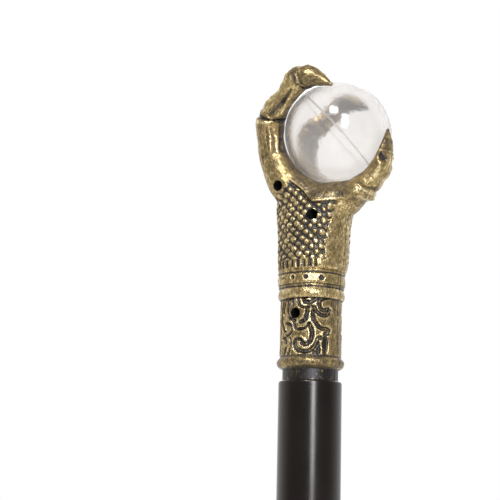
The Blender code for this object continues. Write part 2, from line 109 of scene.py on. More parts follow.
# Turn and rise from the ball's centre in degrees, height over the ball, half width, half depth
TALL_TALON = (
    (150, -80, 5.6, 6.6, 5.6), (156, -62, 7, 6.6, 7), (157, -45, 6.6, 6, 6.6),
    (157, -30, 5.8, 5.3, 5.6), (154, -7, 5.2, 4.8, 4.8), (151, 10, 5.5, 5.3, 5.3),
    (147.5, 17, 4.7, 4.5, 4.5), (143, 21, 4.7, 4.9, 4.6),
    (133, 30, 3.8, 4, 3.7), (121, 40, 4.6, 4.4, 4.3), (115, 44, 5.4, 4.7, 4.7), (109, 47, 4.5, 4.2, 4.2),
    (104, 48, 4.4, 4.5, 4.3), (95, 48, 3.6, 3.7, 3.5), (85, 46, 2.7, 2.6, 2.4), (76, 43, 1.9, 1.5, 1.3),
    (68, 40, 1.4, 0.5, 0.5),
)
SHORT_TALON = (
    (0, -84, 6.4, 8, 5.4), (0, -68, 4.2, 6.6, 4), (0, -56, 4, 5.7, 4), (0, -50, 3.5, 5, 3.3),
    (0, -43, 3.6, 5.2, 3.5), (0, -34, 3, 4.8, 2.9), (0, -28, 2.5, 4.7, 2.4), (0, -25, 2.1, 4, 2),
    (0, -21, 1.9, 3.9, 1.7), (0, -15, 1.5, 2.9, 1.3), (0, -8.5, 1.1, 1.6, 0.8), (0, -3, 0.9, 0.6, 0.4),
)
HEEL_WEB = (
    (180, -80, 5.6, 6.6, 5.6), (180, -62, 6.6, 6.6, 6.6), (180, -48, 6.2, 6.4, 6.2),
    (180, -38, 5.5, 5.8, 5.4), (180, -31, 3.4, 4.6, 3.3),
)
TALON_STEPS = 10
TALON_SIDES = 48
# Length along each kind of talon at which it leaves the palm, and at which its nail starts
TALL_ENDS = (14, 60)
SHORT_ENDS = (6, 23)

# Place along X and height of each handle screw
SCREWS = {"lower": (0, 22.8), "middle": (6.2, 57), "upper": (-6.92, 68.28)}
HEAD_BORE = 1.9
SHANK_BORE = 1.4
SCREW_SEAT = 3.0
SCREW_SHANK = 9.0

# Radius and height up the turned foot of the handle
FOOT_OUTLINE = (
    (9.7, -0.8), (9.7, 4.1), (10.3, 4.27), (11, 4.62), (11.5, 5.2), (11.78, 5.9), (11.78, 6.5), (11.5, 7.2),
    (10.95, 7.8), (10.55, 8.15), (10.7, 8.5), (10.72, 12), (10.72, 24), (10.7, 27.4), (10.6, 28),
    (11.2, 28.35), (11.55, 28.9), (11.75, 29.8), (11.65, 30.7), (11.35, 31.5), (11.15, 31.95), (11.45, 32.25),
    (11.55, 32.6), (11.35, 32.95), (11.65, 33.3), (11.8, 34), (11.85, 35.2), (11.8, 36.3), (11.7, 36.6),
    (11.3, 36.95), (11.75, 37.3), (11.95, 37.75), (11.7, 38.2), (11, 38.4),
)
# Heights of its zones, and the radius that they stay within where the talons hang beside them
NECK = (0, 4.2)
BEAD = (4.4, 8.1)
BARREL = (BARREL_BASE, 28.2)
RING = (28.3, 31.7)
BAND = (33.2, 36.8)
PALM = (38.2, 75)
SLIM = 13.0
# Heights between which the gold is wiped into a corner, and the most rub there
CORNERS = (
    (-40, 4.3, 0), (-40, -0.2, -0.3), (31.7, 32.2, 0.15), (32.75, 33.15, 0.2), (36.7, 37.2, 0.1),
    (7.9, 8.5, 0.2), (27.7, 28.3, 0.15),
)
PLAIN_STEP = 0.3
FOOT_STEP = 0.19
FOOT_SIDES = 360
FINE_SIDES = 180
VOXEL = 0.28
BOX_MARGIN = 0.01
SAME_POINT = 0.003

# Scrolls cut in the barrel, as turn in degrees and height
DOUBLE_LINES = (
    ((-45, 28.6), (-50, 27.7), (-57, 26.8), (-63, 26.3), (-70, 26.6), (-73, 27.2)),
    ((-26, 28.6), (-35, 28), (-42, 27.2), (-44, 26), (-43, 24.9), (-39, 24), (-33, 23.8), (-26, 24.3)),
    ((-53, 24.6), (-50, 23.6), (-45, 22.7), (-39, 22.1), (-31, 22.1), (-25, 22.8), (-22, 23.8)),
    ((-56, 23.3), (-56, 22), (-54, 20.6), (-50, 19.2), (-44, 18), (-37, 17.4), (-29, 17.4), (-24, 16.8),
     (-26, 15.9), (-32, 15.7)),
    ((-66, 24.3), (-66, 23), (-68, 21.8), (-70, 20.6), (-75, 19.9), (-79, 19.7)),
    ((-62, 18.8), (-59, 17.5), (-57, 16.1), (-57, 14.7), (-59, 13.3), (-64, 12.3), (-70, 11.9), (-75, 12.3)),
    ((-89, 13.1), (-90, 11.7), (-85, 10.3), (-77, 9.6), (-67, 9.4), (-59, 10), (-53, 11.1), (-49, 12.4),
     (-46, 13.7), (-41, 14.2)),
)
SINGLE_LINES = (
    ((-84, 28.2), (-84, 26.9), (-81, 25.5), (-74, 24.7), (-67, 24.8), (-59, 25.2), (-57, 25)),
    ((-93, 20), (-91, 18.6), (-88, 17.4), (-80, 17), (-72, 17.4), (-66, 18.3), (-63, 19.2)),
    ((-89, 13.9), (-82, 14), (-75, 13.3), (-72, 12.5)),
    ((-94, 28.5), (-96, 27.4), (-95, 25.8), (-95, 25.3)),
    ((-107, 27.6), (-107, 24.8), (-108, 23.1), (-104, 21.6), (-98, 20.8), (-90, 20.3)),
    ((-120, 28.5), (-126, 24.5), (-127, 20.6), (-121, 18.1), (-115, 16.8)),
    ((-111, 28.3), (-118, 25.7), (-120, 23.3)),
    ((-111, 19.5), (-103, 19.1), (-98, 18), (-98, 16.6), (-102, 15.5), (-109, 15)),
    ((-123, 14.6), (-114, 14.2), (-111, 12.7)),
    ((-101, 14.2), (-99, 12.8), (-99, 11.3)),
    ((-112, 10.8), (-116, 8.9)),
    ((-102, 10.4), (-105, 8.8)),
    ((-135, 28), (-139, 24), (-137, 20), (-132, 17), (-134, 12.5), (-140, 9)),
    ((-150, 27), (-148, 21), (-152, 16), (-148, 10)),
)
# Turn, height, half width and half height of each deep hollow
PITS = (
    (-72, 28.2, 1.25, 0.6), (-102, 28, 0.8, 0.8), (-68, 26.9, 1.1, 0.4), (-76, 20, 0.6, 0.5),
    (-78, 17.3, 1.4, 0.45), (-110, 17.6, 0.4, 0.4), (-80, 13.6, 1, 0.5),
    (-31.5, 12, 1.1, 3.6), (-45.5, 10.4, 0.85, 2.1), (-53, 9.2, 0.6, 0.9),
)

# Upper and right edges of the scaled field, as turn and height
SCALES_TOP = ((-152, 66), (-128, 69), (-112, 69.5), (-102, 69.2), (-91, 67.5), (-80, 65.7), (-70, 63.3),
              (-61, 61), (-53, 60.9), (-30, 61.3))
SCALES_SIDE = ((38.2, -50), (39.9, -46), (41, -38), (43.8, -37), (46.5, -41), (49.4, -38), (52.2, -34),
               (55.1, -33), (57.9, -29), (61.3, -29))
SCALES_FOOT = 41.4
SCALE_ACROSS = (1.85, -1.65)
SCALE_DOWN = (-1.5, -1.95)
SCALE_START = (-63, 52.7)
LARGE_SCALES = ((-41, 54.9), (-33, 59.7), (-44, 42), (-44, 50.7))
DOTS = ((-139, 35.2, 0.6), (-115, 35.2, 0.7), (-93, 35.2, 0.75), (-69, 35.2, 0.85), (-42, 35, 1))

# Marks on the talons: length along the talon and angle round it, width, and depth or height
TALL_MARKS = (
    (((40.6, 95), (40.6, 59), (40.4, 25), (40.9, 0), (42.8, -25), (43, -67)), 0.5, -0.8),
    (((39.1, 60), (39.1, 20), (39.2, -4), (41.6, -23), (41.8, -60)), 0.5, 0.25),
    (((36.5, -8), (34, -15), (31, -14)), 0.4, -0.35), (((30, -13), (27.6, -9)), 0.4, -0.25),
    (((37, 13), (34.5, 11), (32, 13)), 0.45, -0.3), (((37.5, -52), (34, -50), (28, -42)), 0.6, -0.35),
    (((33.5, -3), (31.3, 0), (28.1, 4)), 0.45, 0.25), (((36, 40), (31, 42), (26, 45)), 0.4, -0.15),
    (((33.5, -33), (30.7, -29), (27.4, -23)), 0.5, 0.25),
    (((55.3, 1), (52.7, -1), (50.2, 1)), 0.6, -0.5),
    (((51, 1), (48.7, 3), (47, 6), (45.6, 10)), 1.4, -0.5),
    (((53.9, -18), (51.5, -18), (49.5, -25), (47, -30)), 0.5, 0.3),
    (((59.1, 95), (59.1, 76), (59.2, 44), (59.1, 16), (58.5, -10), (61.3, -39)), 0.4, -0.5),
    (((60, 95), (59.8, 46), (60.3, 11), (61.7, -14), (64.6, -41)), 0.35, -0.4),
)
SHORT_MARKS = (
    (((21.9, 13), (21.2, 34), (21.2, 56)), 0.9, -0.9),
    (((10.4, 20), (11, 49), (11.7, 71), (12, 95)), 0.45, -0.5),
    (((9.5, 50), (9.5, 95)), 0.45, -0.4),
    (((19.4, 36), (17.6, 35), (15.7, 42), (13, 43)), 0.8, 0.3),
    (((19.9, 4), (18, 11), (15.5, 16), (12.7, 16)), 0.7, -0.12),
    (((9.8, 25), (10.2, 50), (10.6, 75)), 0.4, 0.3), (((8.3, 30), (8.5, 70)), 0.5, 0.35),
    (((21.8, 75), (21.6, 95)), 1.5, 0.35), (((8.2, 50), (8.4, 95)), 2.4, 1.4),
    (((24.8, 20), (24.4, 33), (24.4, 80)), 0.3, -0.2),
    (((23.1, 10), (22.9, 9), (23.1, 44), (23.1, 80)), 0.3, -0.3),
)


def linear(hex_colour):
    """An sRGB hex colour as the linear values that a shader takes."""
    parts = [int(hex_colour[i:i + 2], 16) / 255 for i in (0, 2, 4)]
    return (*[p / 12.92 if p <= 0.04045 else ((p + 0.055) / 1.055)**2.4 for p in parts], 1.0)


def smooth_step(values, low, high):
    """0 below low, 1 above high, and smooth between them."""
    t = np.clip((values - low) / (high - low), 0.0, 1.0)
    return t * t * (3 - 2 * t)


def catmull_rom(stations, steps):
    """Smooth values through the stations."""
    stations = np.asarray(stations, float)
    last = len(stations) - 1
    values = []
    for i in range(last):
        b, a, c, d = stations[max(i - 1, 0)], stations[i], stations[i + 1], stations[min(i + 2, last)]
        for step in range(steps):
            t = step / steps
            values.append(0.5 * (2 * a + (c - b) * t + (2 * b - 5 * a + 4 * c - d) * t**2
                                 + (3 * a - b - 3 * c + d) * t**3))
    values.append(stations[last])
    return np.array(values)


@contextlib.contextmanager
def opened(mesh):
    """A mesh opened for work on its faces, which closes with the work in it."""
    shape = bmesh.new()
    shape.from_mesh(mesh)
    yield shape
    shape.to_mesh(mesh)
    shape.free()


def mesh_of(name, points, faces):
    """A mesh whose faces all look outwards."""
    mesh = bpy.data.meshes.new(name)
    mesh.from_pydata([tuple(p) for p in points], [], faces)
    with opened(mesh) as shape:
        bmesh.ops.recalc_face_normals(shape, faces=shape.faces)
    return mesh


def lofted(name, rings, closed_loop=False):
    """A closed mesh through rings of points.  A ring of one point is a tip."""
    points = [p for ring in rings for p in ring]
    starts = np.concatenate(([0], np.cumsum([len(ring) for ring in rings])))
    pairs = list(zip(range(len(rings) - 1), range(1, len(rings))))
    if closed_loop:
        pairs.append((len(rings) - 1, 0))
    faces = []
    for low, high in pairs:
        n_low, n_high = len(rings[low]), len(rings[high])
        a, b = int(starts[low]), int(starts[high])
        for i in range(max(n_low, n_high)):
            j = (i + 1) % max(n_low, n_high)
            corners = [a + i % n_low, a + j % n_low, b + j % n_high, b + i % n_high]
            faces.append(list(dict.fromkeys(corners)))
    if not closed_loop:
        for k in (0, len(rings) - 1):
            if len(rings[k]) > 1:
                faces.append(list(range(int(starts[k]), int(starts[k]) + len(rings[k]))))
    return mesh_of(name, points, faces)


def circle(radius_x, radius_y, height, shift=0.0, sides=96):
    angles = 2 * np.pi * (np.arange(sides) + 0.5) / sides
    return np.stack((shift + radius_x * np.cos(angles), radius_y * np.sin(angles), np.full(sides, height)), 1)


def turned(name, outline, sides=96):
    """A solid of revolution from a closed outline of (radius, height) points."""
    on_axis = any(radius < 1e-6 for radius, _ in outline)
    rings = [circle(radius, radius, height, 0.0, sides) if radius > 1e-6 else np.array([[0.0, 0.0, height]])
             for radius, height in outline]
    return lofted(name, rings, closed_loop=not on_axis)


def modified(mesh, kind, **settings):
    """What one modifier makes of a mesh."""
    holder = bpy.data.objects.new("holder", mesh)
    bpy.context.scene.collection.objects.link(holder)
    modifier = holder.modifiers.new("change", kind)
    for key, value in settings.items():
        setattr(modifier, key, value)
    graph = bpy.context.evaluated_depsgraph_get()
    result = bpy.data.meshes.new_from_object(holder.evaluated_get(graph))
    bpy.data.objects.remove(holder)
    return result


def boolean(mesh, tool, operation):
    """One Boolean of two closed meshes."""
    cutter = bpy.data.objects.new("cutter", tool)
    bpy.context.scene.collection.objects.link(cutter)
    result = modified(mesh, "BOOLEAN", operation=operation, solver="MANIFOLD", object=cutter)
    bpy.data.objects.remove(cutter)
    return result


def joined(mesh):
    """Joins points that the cuts leave a few micrometres apart, and drops folded pairs of faces."""
    with opened(mesh) as shape:
        bmesh.ops.remove_doubles(shape, verts=shape.verts, dist=SAME_POINT)
        bmesh.ops.dissolve_degenerate(shape, edges=shape.edges, dist=SAME_POINT)
        bmesh.ops.triangulate(shape, faces=shape.faces)
        shape.verts.index_update()
        found = {}
        for face in shape.faces:
            found.setdefault(frozenset(v.index for v in face.verts), []).append(face)
        folded = [face for faces in found.values() if len(faces) > 1 for face in faces]
        bmesh.ops.delete(shape, geom=folded, context="FACES")


def vectors(items, key="co"):
    """The places of a mesh's points, or another value of three numbers, as an array."""
    flat = np.empty(len(items) * 3, np.float32)
    items.foreach_get(key, flat)
    return flat.reshape(-1, 3).astype(float)


def set_positions(mesh, points):
    mesh.vertices.foreach_set("co", points.astype(np.float32).ravel())
    mesh.update()


def line_distance(u, v, line, margin):
    """Distance of each point (u, v) from a line through points, and a huge value well away from it."""
    line = np.asarray(line)
    close = ((u > line[:, 0].min() - margin) & (u < line[:, 0].max() + margin)
             & (v > line[:, 1].min() - margin) & (v < line[:, 1].max() + margin))
    distance = np.full(len(u), 1e9)
    u, v, best = u[close], v[close], distance[close]
    for (a, b), (c, d) in zip(line, line[1:]):
        along = np.clip(((u - a) * (c - a) + (v - b) * (d - b)) / max((c - a)**2 + (d - b)**2, 1e-9), 0, 1)
        best = np.minimum(best, np.hypot(u - a - along * (c - a), v - b - along * (d - b)))
    distance[close] = best
    return distance


def between(values, limits):
    return (values >= limits[0]) & (values < limits[1])


def bell(distance, width):
    """1 on a line, falling off smoothly on both sides of it."""
    return np.exp(-np.minimum((distance / width)**2, 60.0))


def barrel_relief(turn, height):
    """Move and rub of the scrolls.  Turn is folded so that both shells carry them."""
    radians = np.radians(1.0) * BARREL_RADIUS
    u = turn * radians
    move = np.zeros(len(u))
    rub_and_painted_light = 0.6 - 0.08 * smooth_step(turn, -26, -8)
    on = smooth_step(height, BARREL_BASE + 0.2, BARREL_BASE + 0.6) * (1 - smooth_step(height, 27.9, 28.2))
    for line in DOUBLE_LINES:
        d = line_distance(u, height, catmull_rom([(a * radians, b) for a, b in line], 5), 2.2)
        groove = bell(d - 0.44, 0.27)
        ridge = bell(d, 0.2)
        rim = bell(d - 1.1, 0.32)
        move += -0.46 * groove - 0.12 * ridge + 0.12 * rim
        rub_and_painted_light += -0.9 * groove - 0.2 * ridge + 0.3 * rim
    for line in SINGLE_LINES:
        d = line_distance(u, height, catmull_rom([(a * radians, b) for a, b in line], 5), 2.0)
        groove = bell(d, 0.42)
        rim = bell(d - 0.85, 0.28)
        move += -0.5 * groove + 0.1 * rim
        rub_and_painted_light += -0.9 * groove + 0.2 * rim
    for a, b, wide, high in PITS:
        d = np.hypot((u - a * radians) / wide, (height - b) / high)
        pit = 1 - smooth_step(d, 0.75, 1.25)
        rim = bell((d - 1.5) * min(wide, high), 0.25)
        move += -0.55 * pit + 0.1 * rim
        rub_and_painted_light += -0.7 * pit + 0.25 * rim
    return np.maximum(move, -0.75) * on, np.clip(rub_and_painted_light, 0, 1)


def band_relief(turn, height):
    """Move and rub of the row of dots."""
    radians = np.radians(1.0) * BAND_RADIUS
    u = turn * radians
    move = np.zeros(len(u))
    rub_and_painted_light = np.full(len(u), 0.72)
    for a, b, size in DOTS:
        d = np.hypot(u - a * radians, height - b)
        pit = 1 - smooth_step(d, size - 0.3, size + 0.05)
        rim = bell(d - size - 0.25, 0.22)
        move += -0.5 * pit + 0.15 * rim
        rub_and_painted_light += -0.72 * pit + 0.3 * rim
    return move, np.clip(rub_and_painted_light, 0, 1)


def scatter(a, b, salt):
    """A fixed value from -1 to 1 for each pair of whole numbers."""
    mixed = np.sin(a * 127.1 + b * 311.7 + salt * 74.7) * 43758.5453
    return 2 * (mixed - np.floor(mixed)) - 1


def scale_field(turn, height):
    """Millimetres below the scaled field's top edge, inside its right edge, and inside the others."""
    radians = np.radians(1.0) * PALM_RADIUS
    top = np.interp(turn, [a for a, _ in SCALES_TOP], [b for _, b in SCALES_TOP])
    side = np.interp(height, [a for a, _ in SCALES_SIDE], [b for _, b in SCALES_SIDE])
    left = (turn + 152.0) * radians
    return top - height, (side - turn) * radians, np.minimum(left, height - SCALES_FOOT)


def palm_relief(turn, height, back):
    """Move and rub of the scales, the flutes below them and the plain gold beside them; the scales' rub holds
    a painted highlight on each crown and painted shade on each lower left side.
    """
    radians = np.radians(1.0) * PALM_RADIUS
    u = turn * radians
    below, right, rest = scale_field(turn, height)
    right = right + 4.2 * back * (1 - smooth_step(height, 55, 60))
    basis = np.linalg.inv(np.array((SCALE_ACROSS, SCALE_DOWN)).T)
    start = np.array((SCALE_START[0] * radians, SCALE_START[1]))
    cell = basis @ np.stack((u - start[0], height - start[1]))
    base = np.round(cell)
    nearest = np.full(len(u), 1e9)
    size, centre_u, centre_v = np.zeros((3, len(u)))
    for di in (-1, 0, 1):
        for dj in (-1, 0, 1):
            i, j = base[0] + di, base[1] + dj
            cu = start[0] + i * SCALE_ACROSS[0] + j * SCALE_DOWN[0] + 0.2 * scatter(i, j, 1)
            cv = start[1] + i * SCALE_ACROSS[1] + j * SCALE_DOWN[1] + 0.2 * scatter(i, j, 2)
            d = np.hypot(u - cu, height - cv)
            closer = d < nearest
            size = np.where(closer, scatter(i, j, 3), size)
            centre_u, centre_v = np.where(closer, cu, centre_u), np.where(closer, cv, centre_v)
            nearest = np.where(closer, d, nearest)
    reach = 1.1 + 0.07 * size + 0.06 * smooth_step(-turn, 80, 100)
    dome = np.clip(1 - (nearest / reach)**2, 0, 1)**0.4
    # Painted shade on the lower left side of each scale
    lower_left_painted_shade = np.clip((0.5 * (centre_u - u) + 0.85 * (centre_v - height)) / reach, -1, 1)
    scale_move = -0.45 + 0.6 * dome
    # A painted highlight on the crown of each scale, and the painted shade on its lower left
    scale_rub_and_painted_light = 0.78 * dome + 0.25 * bell(nearest, 0.45) - 0.3 * lower_left_painted_shade + 0.15 * size
    for a, b in LARGE_SCALES:
        d = np.hypot(u - a * radians, height - b)
        disc = 1 - smooth_step(d, 1.7, 1.9)
        middle = np.clip(1 - (d / 1.3)**2, 0, 1)**0.4
        scale_move = scale_move * (1 - disc) + disc * (-0.45 + 0.6 * middle)
        # A painted highlight on the crown of each large scale
        scale_rub_and_painted_light = scale_rub_and_painted_light * (1 - disc) + disc * (0.8 * middle + 0.25 * bell(d, 0.5))
    ragged = right + 0.5 * np.sin(2.6 * height) + 0.3 * np.sin(5.3 * height + 1.0)
    side_edge = smooth_step(ragged, -0.5, 0.6)
    on = smooth_step(below, 0.0, 0.35) * side_edge * smooth_step(rest, 0.0, 0.3)
    border = bell(below + 0.25, 0.3) * side_edge
    lip = bell(below + 0.95, 0.38) * smooth_step(right, -3.0, 0.0)
    patch = bell(ragged + 0.6, 0.5) * (below > -0.5)
    lip *= 0.45 + 0.55 * smooth_step(turn, -63, -58)
    plain = 0.74 - 0.28 * smooth_step(height, 60.0, 63.0)
    move = on * scale_move - 0.5 * border + 0.24 * lip + 0.05 * patch
    rub_and_painted_light = on * scale_rub_and_painted_light + (1 - on) * plain - 0.75 * border + 0.4 * lip + 0.15 * patch

    foot = smooth_step(height, 38.5, 38.9) * (1 - smooth_step(height, 41.2, 41.6))
    foot *= smooth_step(turn, -152, -149) * (1 - smooth_step(turn, -52, -50))
    flute = np.cos(2 * np.pi * (turn + 89) / 10.7)
    move = move * (1 - foot) + foot * (-0.3 + 0.28 * flute)
    rub_and_painted_light = rub_and_painted_light * (1 - foot) + foot * (0.42 + 0.45 * flute)
    return move, np.clip(rub_and_painted_light, 0, 1)


def talon_path(stations, side=1.0, steps=TALON_STEPS):
    """Middles, directions and sizes of a talon's sections."""
    path = catmull_rom(stations, steps)
    turn, rise = np.radians(path[:, 0]), np.radians(path[:, 1])
    up = np.stack((np.cos(rise) * np.cos(turn), side * np.cos(rise) * np.sin(turn), np.sin(rise)), 1)
    middle = BALL_CENTRE + up * (BALL_RADIUS + path[:, 2:3])
    along = np.gradient(middle, axis=0)
    along /= np.linalg.norm(along, axis=1)[:, None]
    up -= along * (up * along).sum(1)[:, None]
    up /= np.linalg.norm(up, axis=1)[:, None]
    across = np.cross(along, up)
    length = np.concatenate(([0], np.cumsum(np.linalg.norm(np.diff(middle, axis=0), axis=1))))
    return middle, up, across, path[:, 3], path[:, 4], length


def talon_form(name, stations, side=1.0):
    """A talon as a closed loft of oval sections."""
    middle, up, across, wide, deep, _ = talon_path(stations, side)
    angles = 2 * np.pi * (np.arange(TALON_SIDES) + 0.5) / TALON_SIDES
    rings = [m + np.outer(np.cos(angles), a * w) + np.outer(np.sin(angles), u * d)
             for m, a, u, w, d in zip(middle, across, up, wide, deep)]
    return lofted(name, rings)


def on_talon(points, stations, side):
    """Length along a talon, angle round it, local radius, and how far out each point is."""
    middle, up, across, wide, deep, length = talon_path(stations, side)
    best = np.full(len(points), 1e9)
    index = np.zeros(len(points), int)
    for i, m in enumerate(middle):
        d = ((points - m)**2).sum(1)
        closer = d < best
        best[closer] = d[closer]
        index[closer] = i
    rel = points - middle[index]
    a = np.abs((rel * across[index]).sum(1)) / wide[index]
    h = (rel * up[index]).sum(1) / deep[index]
    run = length[index] + (rel * np.cross(up[index], across[index])).sum(1)
    return run, np.degrees(np.arctan2(h, a)), (wide[index] + deep[index]) / 2, np.hypot(a, h)


def talon_relief(points, stations, side, marks, ends):
    """Move, rub and share of a talon's creases, ridges and hollows, and the run of its brush strokes; the rub
    holds painted shade on the side that faces the ball and painted light on the top.
    """
    root, nail = ends
    length, angle, radius, out = on_talon(points, stations, side)
    v = np.radians(angle) * radius
    share = smooth_step(length, root - 1.5, root + 1.5) * (1 - smooth_step(out, 1.25, 1.5))
    move = np.zeros(len(points))
    _, _, _, wide, deep, lengths = talon_path(stations)
    radii = (wide + deep) / 2
    # Painted shade on the side of the talon that faces the ball, and painted light on its top
    rub_and_painted_light = 0.66 - 0.34 * (1 - smooth_step(angle, -65, -20)) + 0.08 * smooth_step(angle, 20, 60)
    rub_and_painted_light += 0.08 * smooth_step(length, nail - 18, nail - 16) - 0.22 * smooth_step(length, nail, nail + 1.5)
    rub_and_painted_light -= 0.06 * (side > 0)
    for line, width, depth in marks:
        curve = catmull_rom([(s, math.radians(a) * np.interp(s, lengths, radii)) for s, a in line], 4)
        d = line_distance(length, v, curve, 3.0 * width + 1.0)
        mark = bell(d, width)
        move += depth * mark
        rub_and_painted_light = rub_and_painted_light + (depth if depth < 0 else 0.3) * mark
    return move, np.clip(rub_and_painted_light, 0, 1), share, np.stack((v, 0.3 * length, out), 1)


def relief(points):
    """Move along the surface, rub with its painted shade and highlights, and the run of the brush strokes,
    for points of the handle's outside.
    """
    x, y, height = points.T
    folded = np.stack((x, -np.abs(y), height), 1)
    turn = np.degrees(np.arctan2(folded[:, 1], folded[:, 0]))
    radius = np.hypot(x, y)
    move = np.zeros(len(points))
    rub_and_painted_light = np.full(len(points), 0.62)
    strokes = np.stack((np.radians(turn) * BARREL_RADIUS, 0.3 * height, radius), 1)

    slim = radius < SLIM
    barrel = between(height, BARREL) & slim
    move[barrel], rub_and_painted_light[barrel] = barrel_relief(turn[barrel], height[barrel])
    band = between(height, BAND) & slim
    move[band], rub_and_painted_light[band] = band_relief(turn[band], height[band])
    palm = between(height, PALM)
    move[palm], rub_and_painted_light[palm] = palm_relief(turn[palm], height[palm], y[palm] > 0)
    rub_and_painted_light[between(height, BEAD)] = 0.52
    rub_and_painted_light[between(height, RING) & slim] = 0.8
    for low, high, most in CORNERS:
        corner = between(height, (low, high))
        rub_and_painted_light[corner] = np.minimum(rub_and_painted_light[corner], most)
    neck = between(height, NECK)
    rub_and_painted_light[neck] = 0.6 * smooth_step(bumps(points[neck], 1.0, 3.0), 0.62, 0.8)

    over = height > 60
    for stations, marks, ends, side in ((TALL_TALON, TALL_MARKS, TALL_ENDS, -1.0),
                                        (SHORT_TALON, SHORT_MARKS, SHORT_ENDS, 1.0)):
        m, r, share, along = talon_relief(folded[over], stations, side, marks, ends)
        move[over] = move[over] * (1 - share) + m * share
        rub_and_painted_light[over] = rub_and_painted_light[over] * (1 - share) + r * share
        strokes[over] = np.where(share[:, None] > 0.5, along, strokes[over])
    return move, rub_and_painted_light, strokes


def bumps(points, size, salt=0.0):
    """Soft uneven values from -1 to 1."""
    place = points / size + salt
    base = np.floor(place)
    part = place - base
    part = part * part * (3 - 2 * part)
    total = np.zeros(len(points))
    for corner in np.ndindex(2, 2, 2):
        x, y, z = (base + corner).T
        weight = np.where(corner, part, 1 - part).prod(axis=1)
        total += weight * scatter(x + 57.0 * z, y, salt + 1.0)
    return total


def foot_form():
    """The turned foot of the handle, with its relief already in it."""
    outline = np.array(FOOT_OUTLINE)
    low, high = outline[0, 1], outline[-1, 1]
    heights = np.concatenate((np.arange(low, BARREL_BASE, PLAIN_STEP),
                              np.arange(BARREL_BASE, high, FOOT_STEP)))
    fine = np.linspace(low, high, 1200)
    width = 9
    kernel = np.hanning(width * 2 + 1)
    radii = np.pad(np.interp(fine, outline[:, 1], outline[:, 0]), width, mode="edge")
    radii = np.convolve(radii, kernel / kernel.sum(), mode="valid")
    angles = 2 * np.pi * (np.arange(FOOT_SIDES) + 0.5) / FOOT_SIDES
    turn, height = [grid.ravel() for grid in np.meshgrid(angles, heights)]

    def places(radius):
        return np.stack((radius * np.cos(turn), radius * np.sin(turn), height), 1)

    radius = np.interp(height, fine, radii)
    plain = places(radius)
    # Casting unevenness, soft over 1.3 mm, from the bead up
    uneven = smooth_step(height, 4.3, 5.0) * 0.06 * bumps(plain, 1.3, 2.0)
    carved = places(radius + (relief(plain)[0] + uneven))
    chamfer = 0.6
    rings = [circle(SPIGOT_RADIUS - chamfer, SPIGOT_RADIUS - chamfer, -SPIGOT_LENGTH, 0.0, FOOT_SIDES),
             circle(SPIGOT_RADIUS, SPIGOT_RADIUS, chamfer - SPIGOT_LENGTH, 0.0, FOOT_SIDES)]
    rings += list(carved.reshape(len(heights), FOOT_SIDES, 3))
    rings.append(circle(10.4, 10.4, high + 0.3, 0.0, FOOT_SIDES))
    return lofted("foot_form", rings)


def palm_ring(share, shift, grow_x, grow_y, sides=144):
    height = PALM_BASE + share * PALM_LENGTH
    return circle(TUBE_RADIUS + grow_x, TUBE_RADIUS + grow_y, height, shift, sides)


def claw_skin():
    """Palm, talons and webs under one closed skin."""
    rings = [circle(radius, radius, height, shift, 144) for radius, height, shift in PALM_FOOT]
    rings += [palm_ring(*level) for level in catmull_rom(PALM_LEVELS, 4)]
    pieces = [lofted("palm", rings), talon_form("talon_back", TALL_TALON, 1.0),
              talon_form("talon_front", TALL_TALON, -1.0), talon_form("talon_short", SHORT_TALON),
              talon_form("web_heel", HEEL_WEB)]
    together = bpy.data.meshes.new("claw_pieces")
    with opened(together) as shape:
        for piece in pieces:
            shape.from_mesh(piece)
    return modified(together, "REMESH", mode="VOXEL", voxel_size=VOXEL)


def claw_form():
    """The claw's skin, smoothed and then carved with its relief."""
    skin = claw_skin()
    points = vectors(skin.vertices)
    ends = np.empty(len(skin.edges) * 2, np.int32)
    skin.edges.foreach_get("vertices", ends)
    ends = ends.reshape(-1, 2)
    both = np.concatenate((ends, ends[:, ::-1]))
    count = np.bincount(both[:, 0], minlength=len(points))[:, None]

    def relax(points, weight):
        sums = [np.bincount(both[:, 0], points[both[:, 1], k], len(points)) for k in range(3)]
        return points + (np.stack(sums, 1) / count - points) * weight

    # The roots of the talons run into the palm, so the skin is smoothed more there than at the tips
    root = bell(points[:, 2] - 70.0, 7.0)[:, None]
    for _ in range(40):
        points = relax(points, 0.5 * root)
    for _ in range(4):
        points = relax(points, 0.5)
    set_positions(skin, points)
    out = vectors(skin.vertex_normals, "vector")
    # Casting unevenness, soft over 1.6 mm and finer over 0.7 mm
    uneven = bumps(points, 1.6) * 0.09 + bumps(points, 0.7, 9.0) * 0.06
    points += out * (relief(points)[0] + uneven)[:, None]
    low, high = (np.array(corner) / MM - (0, 0, MOUTH) for corner in cad_box)
    set_positions(skin, np.clip(points, low + BOX_MARGIN, high - BOX_MARGIN))
    return skin


def block(xs, ys, zs):
    """A box between two limits each way."""
    corners = [(x, y, z) for x in xs for y in ys for z in zs]
    faces = [(0, 1, 3, 2), (4, 6, 7, 5), (0, 4, 5, 1), (2, 3, 7, 6), (0, 2, 6, 4), (1, 5, 7, 3)]
    return mesh_of("block", corners, faces)


def along_y(mesh, x, height):
    """Lays a mesh turned about Z along Y instead, at a screw's place."""
    mesh.transform(Matrix.Translation((x, 0, height)) @ Matrix.Rotation(-math.pi / 2, 4, "X"))
    return mesh


